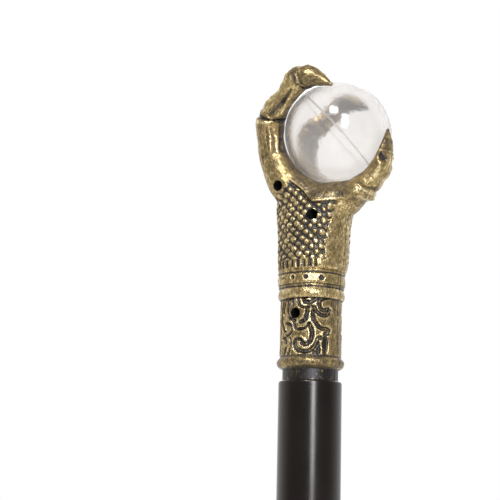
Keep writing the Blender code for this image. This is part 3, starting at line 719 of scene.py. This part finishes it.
def cavity():
    """The hollow in the handle, with the screw bosses left standing."""
    bore = BARREL_RADIUS - SHELL_WALL
    rings = [circle(SPIGOT_BORE, SPIGOT_BORE, height) for height in (-REACH, BARREL_BASE)]
    rings += [circle(bore, bore, height) for height in (BARREL_BASE + SHELL_WALL, BARREL_TOP)]
    rings += [palm_ring(*level, sides=96) for level in CAVITY_LEVELS]
    hollow = lofted("cavity", rings)
    boss = HEAD_BORE + 1.5
    outline = [(0, -REACH), (boss, -REACH), (boss, REACH), (0, REACH)]
    for x, height in SCREWS.values():
        hollow = boolean(hollow, along_y(turned("boss", outline, 48), x, height), "DIFFERENCE")
    return hollow


def marked(mesh, inside):
    """Gives a mesh's faces the outside's or the inside's finish, which a cut hands on to the shells."""
    mesh.materials.append(None)
    mesh.materials.append(None)
    mesh.polygons.foreach_set("material_index", [int(inside)] * len(mesh.polygons))
    return mesh


def add(name, packed, mesh, body, finishes, seam_angle=30.0, which=None):
    """Puts a finished piece, made round the shaft's mouth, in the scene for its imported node."""
    mesh.transform(Matrix.Translation((0, 0, MOUTH * MM)) @ Matrix.Scale(MM, 4))
    mesh.shade_smooth()
    mesh.set_sharp_from_angle(angle=math.radians(seam_angle))
    mesh.materials.clear()
    for finish in finishes:
        mesh.materials.append(finish)
    if which is not None:
        mesh.polygons.foreach_set("material_index", which)
    obj = bpy.data.objects.new(name, mesh)
    bpy.context.scene.collection.objects.link(obj)
    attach(obj, body)
    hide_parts(packed)


def handle_form():
    """The whole handle as one carved solid, with the ball's seat and the hollow cut out."""
    form = boolean(marked(foot_form(), False), marked(claw_form(), False), "UNION")
    seat = bpy.data.meshes.new("seat")
    with opened(seat) as shape:
        bmesh.ops.create_uvsphere(shape, u_segments=128, v_segments=64, radius=BALL_RADIUS + FIT)
        bmesh.ops.translate(shape, vec=BALL_CENTRE, verts=shape.verts)
    form = boolean(form, marked(seat, False), "DIFFERENCE")
    return boolean(form, marked(cavity(), True), "DIFFERENCE")


def shells(gold, raw):
    """The handle's two halves, with a well, a clearance bore and a pilot bore for each screw."""
    form = handle_form()
    seat_y = -SCREW_SEAT - PARTING_GAP / 2
    pilot_end = seat_y + SCREW_SHANK
    well = [(0, -REACH), (HEAD_BORE, -REACH), (HEAD_BORE, seat_y), (SHANK_BORE, seat_y), (SHANK_BORE, REACH),
            (0, REACH)]
    pilot = [(0, -REACH), (SHANK_BORE, -REACH), (SHANK_BORE, pilot_end), (0, pilot_end)]
    for side, name, outline in ((-1.0, "handle_front_shell", well), (1.0, "handle_back_shell", pilot)):
        half_space = block((-REACH, REACH), (side * PARTING_GAP / 2, side * REACH), (-REACH, 3 * REACH))
        half = boolean(form.copy(), marked(half_space, True), "INTERSECT")
        for x, height in SCREWS.values():
            half = boolean(half, marked(along_y(turned("bore", outline, 40), x, height), True), "DIFFERENCE")
        joined(half)
        _, rub_and_painted_light, strokes = relief(vectors(half.vertices))
        half.attributes.new("rub_and_painted_light", "FLOAT", "POINT").data.foreach_set("value", rub_and_painted_light.astype(np.float32))
        half.attributes.new("strokes", "FLOAT_VECTOR", "POINT").data.foreach_set(
            "vector", strokes.astype(np.float32).ravel())
        which = np.zeros(len(half.polygons), np.int32)
        half.polygons.foreach_get("material_index", which)
        add(name + "_carved", name, half, "handle", (gold, raw), 60.0, which)


def feed(tree, made, *numbered, **named):
    """Links or sets a node's inputs, by number or by name, with _ for each space in it."""
    inputs = dict(enumerate(numbered))
    inputs.update({key.replace("_", " "): value for key, value in named.items()})
    for key, value in inputs.items():
        if isinstance(value, bpy.types.NodeSocket):
            tree.links.new(value, made.inputs[key])
        else:
            made.inputs[key].default_value = value


def node(tree, kind, settings=None, *numbered, **named):
    """Adds a node with its settings and links."""
    made = tree.nodes.new("ShaderNode" + kind)
    for key, value in (settings or {}).items():
        setattr(made, key, value)
    feed(tree, made, *numbered, **named)
    return made


def stops(made, *places):
    """Fills a colour ramp, each stop with an sRGB hex colour or a plain value, and gives its output."""
    elements = made.color_ramp.elements
    elements.remove(elements[-1])
    for i, (place, colour) in enumerate(places):
        element = elements[0] if i == 0 else elements.new(place)
        element.position = place
        element.color = linear(colour) if isinstance(colour, str) else (colour, colour, colour, 1.0)
    return made.outputs["Color"]


def material(name):
    """A new material with its tree, its shader and the place on the piece in metres."""
    made = bpy.data.materials.new(name)
    made.use_nodes = True
    tree = made.node_tree
    return made, tree, tree.nodes["Principled BSDF"], node(tree, "TexCoord").outputs["Object"]


def antique_gold():
    """Gold lacquer wiped back while wet: bright on every high place, brown black in the cuts, plus painted
    highlights and shade.
    """
    made, tree, shader, place = material("antique_gold_lacquer_wiped")
    # The point value read here is the wiped gold together with painted shade and painted highlights
    worn_and_painted_light = node(tree, "Attribute", {"attribute_name": "rub_and_painted_light"}).outputs["Fac"]
    strokes = node(tree, "Attribute", {"attribute_name": "strokes"}).outputs["Vector"]
    marks = []
    # Blotches of 3 mm, brush strokes half a millimetre wide, and specks of 0.4 mm, where the wiping left
    # more or less gold
    noises = ((place, 330.0, 3.0, 0.6, 0.7), (strokes, 2.0, 3.0, 0.65, 1.6), (place, 2600.0, 2.0, 0.6, 0.9))
    for vector, scale, detail, fine, amount in noises:
        noise = node(tree, "TexNoise", None, Vector=vector, Scale=scale, Detail=detail, Roughness=fine)
        marks.append(noise.outputs["Fac"])
        part = node(tree, "Math", {"operation": "MULTIPLY_ADD"}, marks[-1], amount, -amount / 2)
        worn_and_painted_light = node(tree, "Math", {"operation": "ADD"}, worn_and_painted_light, part.outputs[0]).outputs[0]
    # The palest colour, cream, is partly a painted highlight on the ridges and crowns
    colour, metal, rough = (stops(node(tree, "ValToRGB", None, worn_and_painted_light), *places) for places in (
        ((0.0, "15110F"), (0.2, "30281F"), (0.42, "605239"), (0.65, "917C50"), (0.88, "BDA36C"),
         (1.0, "EBD8AA")),
        ((0.0, 0.0), (0.25, 0.1), (0.5, 0.6), (1.0, 0.75)),
        ((0.0, 0.36), (0.4, 0.38), (0.8, 0.27), (1.0, 0.2))))
    # Relief of 0.2 mm for the strokes and 0.1 mm for the specks, at four tenths of its strength
    bump = node(tree, "Bump", None, Strength=0.4, Distance=0.0002, Height=marks[1])
    bump = node(tree, "Bump", None, Strength=0.4, Distance=0.0001, Height=marks[2], Normal=bump.outputs[0])
    feed(tree, shader, Base_Color=colour, Metallic=metal, Roughness=rough, Normal=bump.outputs[0])
    return made


def grained(name, cloud, grain, colours, roughs, strength, **values):
    """A material whose colour and sheen follow one noise, and whose 0.1 mm relief follows another."""
    made, tree, shader, place = material(name)
    cloud, grain = (node(tree, "TexNoise", None, Vector=place, **noise).outputs["Fac"]
                    for noise in (cloud, grain))
    colour, rough = (stops(node(tree, "ValToRGB", None, cloud), *places) for places in (colours, roughs))
    bump = node(tree, "Bump", None, Strength=strength, Distance=0.0001, Height=grain)
    feed(tree, shader, Base_Color=colour, Roughness=rough, Normal=bump.outputs[0], **values)
    return made


def raw_moulding():
    """Black ABS as moulded, inside the shells and in the screw wells: dull black with a pebbled grain."""
    # Pebbles of 1.1 mm
    pebbles = {"Scale": 900.0, "Detail": 3.0}
    return grained("moulded_black_abs", pebbles, pebbles, ((0.3, "0E0D0E"), (0.7, "191718")),
                   ((0.3, 0.42), (0.7, 0.58)), 0.3, IOR=1.54)


def clear_acrylic():
    """Moulded clear acrylic: water clear with a bright polish, and faint dust in the polish."""
    made, tree, shader, place = material("moulded_clear_acrylic")
    # Dull patches of 6 mm, and the mould's ripple of 1.3 mm
    haze = node(tree, "TexNoise", None, Vector=place, Scale=160.0, Detail=4.0).outputs["Fac"]
    ripple = node(tree, "TexNoise", None, Vector=place, Scale=760.0, Detail=3.0).outputs["Fac"]
    rough = stops(node(tree, "ValToRGB", None, haze), (0.35, 0.03), (0.75, 0.1))
    # Where the wall is seen edge on, its thickness blurs what lies behind
    edge = node(tree, "LayerWeight", None, Blend=0.25).outputs["Facing"]
    rough = node(tree, "Math", {"operation": "MULTIPLY_ADD"}, edge, 0.3, rough).outputs[0]
    bump = node(tree, "Bump", None, Strength=0.4, Distance=0.00013, Height=ripple)
    feed(tree, shader, Base_Color=linear("F4F2F0"), Transmission_Weight=0.955, IOR=1.49, Roughness=rough,
         Normal=bump.outputs[0])
    # Light passes straight through to what stands in the ball's shadow
    ray = node(tree, "LightPath").outputs["Is Shadow Ray"]
    through = node(tree, "BsdfTransparent", None, Color=linear("F2F0EE"))
    mix = node(tree, "MixShader", None, ray, shader.outputs[0], through.outputs[0])
    feed(tree, tree.nodes["Material Output"], Surface=mix.outputs[0])
    return made


def cemented_seam():
    """Solvent cement between the ball's halves: hazy, with a grey edge."""
    made, tree, shader, place = material("cemented_seam_haze")
    # Clouds of 1.1 mm
    haze = node(tree, "TexNoise", None, Vector=place, Scale=900.0, Detail=3.0).outputs["Fac"]
    colour = stops(node(tree, "ValToRGB", None, haze), (0.3, "DAD7D5"), (0.7, "F2F0EE"))
    feed(tree, shader, Base_Color=colour, Roughness=0.3, Transmission_Weight=0.92, IOR=1.49)
    return made


def black_tube():
    """Aluminium tube stove enamelled satin black: an even sheen with a faint orange peel."""
    # A sheen that changes every 22 mm, and orange peel of 1.4 mm
    sheen = {"Scale": 45.0, "Detail": 4.0}
    peel = {"Scale": 700.0, "Detail": 2.0}
    return grained("stove_enamelled_black_tube", sheen, peel, ((0.3, "120D0B"), (0.7, "191412")),
                   ((0.3, 0.21), (0.7, 0.29)), 0.12, Specular_Tint=linear("FFF6EE"))


def black_rubber():
    """Moulded black rubber, matt with a dusty bloom in clouds."""
    # Bloom in clouds of 5 mm, and a grain of half a millimetre
    bloom = {"Scale": 220.0, "Detail": 5.0, "Roughness": 0.65}
    grain = {"Scale": 1800.0, "Detail": 2.0}
    return grained("moulded_black_rubber", bloom, grain, ((0.35, "151414"), (0.7, "2A2827")),
                   ((0.3, 0.55), (0.7, 0.75)), 0.4)


def turned_metal(name, light, dark, low, high):
    """Bar metal turned on a lathe: fine rings of tool marks a tenth of a millimetre apart."""
    made, tree, shader, place = material(name)
    stretch = node(tree, "Mapping", None, Vector=place, Scale=(60.0, 60.0, 9000.0))
    rings = node(tree, "TexNoise", None, Vector=stretch.outputs[0], Scale=1.0, Detail=2.0).outputs["Fac"]
    colour = stops(node(tree, "ValToRGB", None, rings), (0.3, dark), (0.7, light))
    rough = stops(node(tree, "ValToRGB", None, rings), (0.3, low), (0.7, high))
    bump = node(tree, "Bump", None, Strength=0.25, Distance=0.00005, Height=rings)
    feed(tree, shader, Base_Color=colour, Roughness=rough, Metallic=1.0, Normal=bump.outputs[0])
    return made


def ball_halves(clear, cement):
    """Two thin domes that meet on the tilted seam, one with a lip and one with a rebate."""
    inner = BALL_RADIUS - BALL_WALL
    seam = SEAM_GAP / 2

    def arc(radius, rim):
        """Points of a dome from its rim to its pole."""
        angles = np.linspace(math.asin(rim / radius), math.pi / 2, 40)
        return [(radius * math.cos(t), radius * math.sin(t)) for t in angles[:-1]] + [(0.0, radius)]

    lip = BALL_RADIUS - (BALL_WALL + FIT) / 2
    rebate = lip + FIT
    lip_bore = math.sqrt(inner**2 - BALL_LIP**2)
    outside = arc(BALL_RADIUS, seam)[::-1]
    lipped = outside + [(lip, seam), (lip, -BALL_LIP), (lip_bore, -BALL_LIP)] + arc(inner, seam)
    rebate_height = BALL_LIP + FIT
    rebated = outside + [(rebate, seam), (rebate, rebate_height)] + arc(inner, rebate_height)
    to_seam = Vector((0, 0, 1)).rotation_difference(Vector(SEAM_NORMAL)).to_matrix().to_4x4()
    over = Matrix.Rotation(math.pi, 4, "X")
    halves = (("ball_upper_half", lipped, to_seam), ("ball_lower_half", rebated, to_seam @ over))
    for name, outline, turn in halves:
        mesh = turned(name, outline, 128)
        # What lies off both round faces is the rim, which carries the cement
        rim = [min(abs(f.center.length - r) for r in (BALL_RADIUS, inner)) > 0.1 for f in mesh.polygons]
        mesh.transform(Matrix.Translation(BALL_CENTRE) @ turn)
        add(name + "_clear", name, mesh, "ball", (clear, cement),
            which=np.array(rim, np.int32))


def rounded(centre_r, centre_z, radius, start, end, steps=8):
    """Points of a round edge of a turned outline, with angles in degrees."""
    angles = np.radians(np.linspace(start, end, steps + 1))
    return [(centre_r + radius * math.cos(a), centre_z + radius * math.sin(a)) for a in angles]


def add_turned(name, outline, base, body, finish):
    """Adds a turned piece whose outline starts at a height above the floor."""
    mesh = turned(name + "_fine", outline, FINE_SIDES)
    mesh.transform(Matrix.Translation((0, 0, base - MOUTH)))
    add(name + "_fine", name, mesh, body, (finish,))


def shaft(tube, brass):
    """Two tubes with rounded mouths, and the plug and stud that join them."""
    tubes = (("shaft_lower_tube", 0.2, TUBE_BASE, TUBE_TOP, "shaft_lower"),
             ("shaft_upper_tube", 0.8, UPPER_BASE, MOUTH, "shaft_upper"))
    for name, lip, base, top, body in tubes:
        length = top - base
        outline = [(TUBE_RADIUS, z) for z in np.linspace(0, length - 2 * lip, 24)]
        outline += rounded(TUBE_RADIUS - lip, length - lip, lip, 0, 90)
        outline += [(TUBE_BORE, length), (TUBE_BORE, 0.0)]
        add_turned(name, outline, base, body, tube)
    # The plugs are 24 mm long with chamfered ends, and the socket's has a groove every millimetre
    plug, length, edge, bore, stud, stud_top = TUBE_BORE - FIT, 24.0, 0.3, 4.8, 4.5, 17.0
    socket = [(bore, 0.0), (plug - edge, 0.0), (plug, 0.4)]
    for z in np.arange(1.0, length - 1.0, 1.0):
        socket += [(plug, z), (plug - 0.12, z + 0.3), (plug - 0.12, z + 0.6), (plug, z + 0.9)]
    socket += [(plug, length - 0.4), (plug - edge, length), (bore, length)]
    add_turned("joint_socket", socket, UPPER_BASE, "shaft_upper", brass)
    post = [(0.0, stud_top), (stud - 1.2, stud_top)]
    post += [(stud - 0.45 * (k % 2), stud_top - 1.2 - 0.5 * k) for k in range(31)]
    post += [(stud - 0.5, 0.0), (plug, 0.0), (plug, 0.4 - length), (plug - edge, -length), (0.0, -length)]
    add_turned("joint_stud", post, TUBE_TOP, "shaft_lower", brass)


def foot(rubber, steel):
    """The rubber ferrule with its lip, groove and treads, and the washer that lies in it."""
    bore = TUBE_RADIUS + FIT
    side, lip, step, sole, top = bore + 1.6, bore + 1.3, 20.5, 6.0, 28.0
    outline = [(0.0, sole), (bore - 0.4, sole), (bore, sole + 0.4), (bore, top - 0.4), (bore + 0.3, top)]
    outline += rounded(lip - 0.5, top - 0.5, 0.5, 90, 0)
    outline += rounded(lip - 0.3, step + 0.3, 0.3, 0, -90, 4) + rounded(side - 0.5, step - 1.5, 0.5, 90, 0)
    outline += [(side, z) for z in (17.0, 12.0, 7.0)] + rounded(side - 2.2, 2.2, 2.2, 0, -90, 10)
    # Two tread rings, cut 0.8 mm deep and 1.2 mm wide
    for edge in (7.2, 4.0):
        outline += [(edge + 1.2, 0.0), (edge + 1.1, 0.75), (edge + 1.0, 0.8), (edge + 0.2, 0.8),
                    (edge + 0.1, 0.75), (edge, 0.0)]
    outline += [(0.0, 0.0)]
    add_turned("ferrule", outline, 0.001, "ferrule", rubber)
    rim, hole, thick = TUBE_RADIUS, 3.0, 1.5
    disc = [(rim - 0.2, 0.0), (rim, 0.2), (rim, thick - 0.2), (rim - 0.2, thick), (hole + 0.2, thick),
            (hole, thick - 0.2), (hole, 0.2), (hole + 0.2, 0.0)]
    add_turned("ferrule_washer", disc, sole + FIT, "ferrule", steel)


def screws(steel):
    """Pan-head screws: a cross recess in the head and a rolled thread on the shank."""
    head, root, crest, pitch = 1.6, 0.8, 1.1, 0.6
    outline = [(0.0, SCREW_SHANK), (0.12, SCREW_SHANK - 0.1), (root, SCREW_SHANK - 1.5)]
    outline += [(crest if k % 2 else root, SCREW_SHANK - 1.5 - pitch / 2 * k) for k in range(1, 24)]
    outline += [(0.85, 0.35), (0.85, 0.0), (head - 0.1, 0.0), (head, -0.1), (head, -0.55)]
    outline += [(head * math.cos(a), -0.55 - 0.75 * math.sin(a)) for a in np.radians((15, 30, 45, 60, 75))]
    outline += [(0.0, -1.3)]
    form = turned("screw_form", outline, 48)
    for turn in (0.0, math.pi / 2):
        arm = block((-0.27, 0.27), (-0.95, 0.95), (-2.0, -0.75))
        arm.transform(Matrix.Rotation(turn, 4, "Z"))
        form = boolean(form, arm, "DIFFERENCE")
    for place, (x, height) in SCREWS.items():
        name = "handle_screw_" + place
        mesh = form.copy()
        mesh.transform(Matrix.Rotation(-math.pi / 2, 4, "X"))
        mesh.transform(Matrix.Translation((x, -SCREW_SEAT - PARTING_GAP / 2 - FIT, height)))
        add(name + "_fine", name, mesh, "handle", (steel,))


def camera():
    """The close view of the photograph, which looks a little upwards at the handle."""
    seen = bpy.data.objects.new("camera", bpy.data.cameras.new("camera"))
    heading, rise, roll = (math.radians(angle) for angle in (33.6945, 11.0603, 1.3654))
    turn = Matrix.Rotation(heading, 4, "Z") @ Matrix.Rotation(math.pi / 2 + rise, 4, "X")
    place = Matrix.Translation((0.24092, -0.40096, 0.7353))
    seen.matrix_world = place @ turn @ Matrix.Rotation(roll, 4, "Z")
    seen.data.lens = 96.77
    seen.data.sensor_width = 36.0
    bpy.context.scene.collection.objects.link(seen)
    bpy.context.scene.camera = seen


def lamps():
    """A tall strip lamp for the shaft's long highlight, a square one beside it, and a soft one behind."""
    middle = Vector((0.01, 0.0, 0.84))
    distance = 1.3
    # Turn and rise from the handle in degrees, size in metres, power in watts, and colour
    places = (("key", -47, 13, (0.26, 0.7), 12.5, "EEF3FF"),
              ("second", -71, 36, (0.36, 0.36), 10.0, "FBFCFF"),
              ("back_fill", 120, 35, (0.7, 0.7), 8.0, "FFFFFF"))
    for name, turn, rise, size, power, colour in places:
        turn, rise = math.radians(turn), math.radians(rise)
        way = Vector((math.cos(rise) * math.cos(turn), math.cos(rise) * math.sin(turn), math.sin(rise)))
        light = bpy.data.lights.new(name, "AREA")
        light.shape = "RECTANGLE"
        light.size, light.size_y = size
        light.energy = power
        light.color = linear(colour)[:3]
        obj = bpy.data.objects.new(name, light)
        obj.location = middle + distance * way
        obj.rotation_euler = way.to_track_quat("Z", "Y").to_euler()
        obj.visible_transmission = False
        bpy.context.scene.collection.objects.link(obj)


def white_backdrop():
    """White behind the stick, which the gold and the ball mirror too, and a dimmer room before it."""
    world = bpy.data.worlds.new("studio")
    bpy.context.scene.world = world
    world.use_nodes = True
    tree = world.node_tree
    tree.nodes.clear()
    path = node(tree, "LightPath").outputs
    way = node(tree, "TexCoord").outputs["Generated"]
    toward = node(tree, "VectorMath", {"operation": "DOT_PRODUCT"}, way, (-0.55, 0.82, 0.15)).outputs["Value"]
    smooth = {"interpolation_type": "SMOOTHSTEP"}
    room = node(tree, "MapRange", smooth, Value=toward, From_Min=-0.35, From_Max=0.6,
                To_Min=0.24, To_Max=0.95)
    backdrop = node(tree, "MapRange", smooth, Value=toward, From_Min=0.1, From_Max=0.5)
    mirrored = node(tree, "Math", {"operation": "MULTIPLY"}, backdrop.outputs[0], path["Is Glossy Ray"])
    strength = path["Is Camera Ray"]
    for other in (path["Is Transmission Ray"], mirrored.outputs[0], room.outputs[0]):
        strength = node(tree, "Math", {"operation": "MAXIMUM"}, strength, other).outputs[0]
    back = node(tree, "Background", None, Color=linear("FFFFFF"), Strength=strength)
    node(tree, "OutputWorld", None, Surface=back.outputs[0])


def paper_sweep():
    """Matt white paper, faintly cloudy from its pulp, which fades into the white backdrop."""
    made, tree, shader, place = material("pale_paper_sweep")
    # Clouds of 15 mm, a four hundredth of the sheet's 6 m
    cloud = node(tree, "TexNoise", None, Scale=400.0).outputs["Fac"]
    colour = stops(node(tree, "ValToRGB", None, cloud), (0.3, "EFEFEE"), (0.7, "F4F4F3"))
    feed(tree, shader, Base_Color=colour, Roughness=0.9)
    # The fade lies between 0.25 m and 1.1 m from the stick's foot
    away = node(tree, "VectorMath", {"operation": "LENGTH"}, place).outputs["Value"]
    smooth = {"interpolation_type": "SMOOTHSTEP"}
    fade = node(tree, "MapRange", smooth, Value=away, From_Min=0.25, From_Max=1.1)
    path = node(tree, "LightPath").outputs
    seen = path["Is Camera Ray"]
    for other in (path["Is Transmission Ray"], path["Is Glossy Ray"]):
        seen = node(tree, "Math", {"operation": "MAXIMUM"}, seen, other).outputs[0]
    share = node(tree, "Math", {"operation": "MULTIPLY"}, fade.outputs["Result"], seen).outputs[0]
    white = node(tree, "Emission", None, Color=linear("FFFFFF"), Strength=1.0)
    mix = node(tree, "MixShader", None, share, shader.outputs[0], white.outputs[0])
    feed(tree, tree.nodes["Material Output"], Surface=mix.outputs[0])
    return made


def studio():
    """Plain pale floor, white behind, and soft lamps."""
    bpy.context.scene.view_settings.view_transform = "Standard"
    white_backdrop()
    lamps()
    half = 3.0
    corners = [(-half, -half, 0), (half, -half, 0), (half, half, 0), (-half, half, 0)]
    floor = bpy.data.meshes.new("floor")
    floor.from_pydata(corners, [], [(0, 1, 2, 3)])
    floor.materials.append(paper_sweep())
    obj = bpy.data.objects.new("floor", floor)
    bpy.context.scene.collection.objects.link(obj)


def main():
    camera()
    studio()
    shells(antique_gold(), raw_moulding())
    ball_halves(clear_acrylic(), cemented_seam())
    shaft(black_tube(), turned_metal("turned_brass", "C9A85E", "A98742", 0.25, 0.4))
    steel = turned_metal("zinc_plated_steel", "C6C8CA", "9EA1A4", 0.3, 0.42)
    foot(black_rubber(), steel)
    screws(steel)


main()
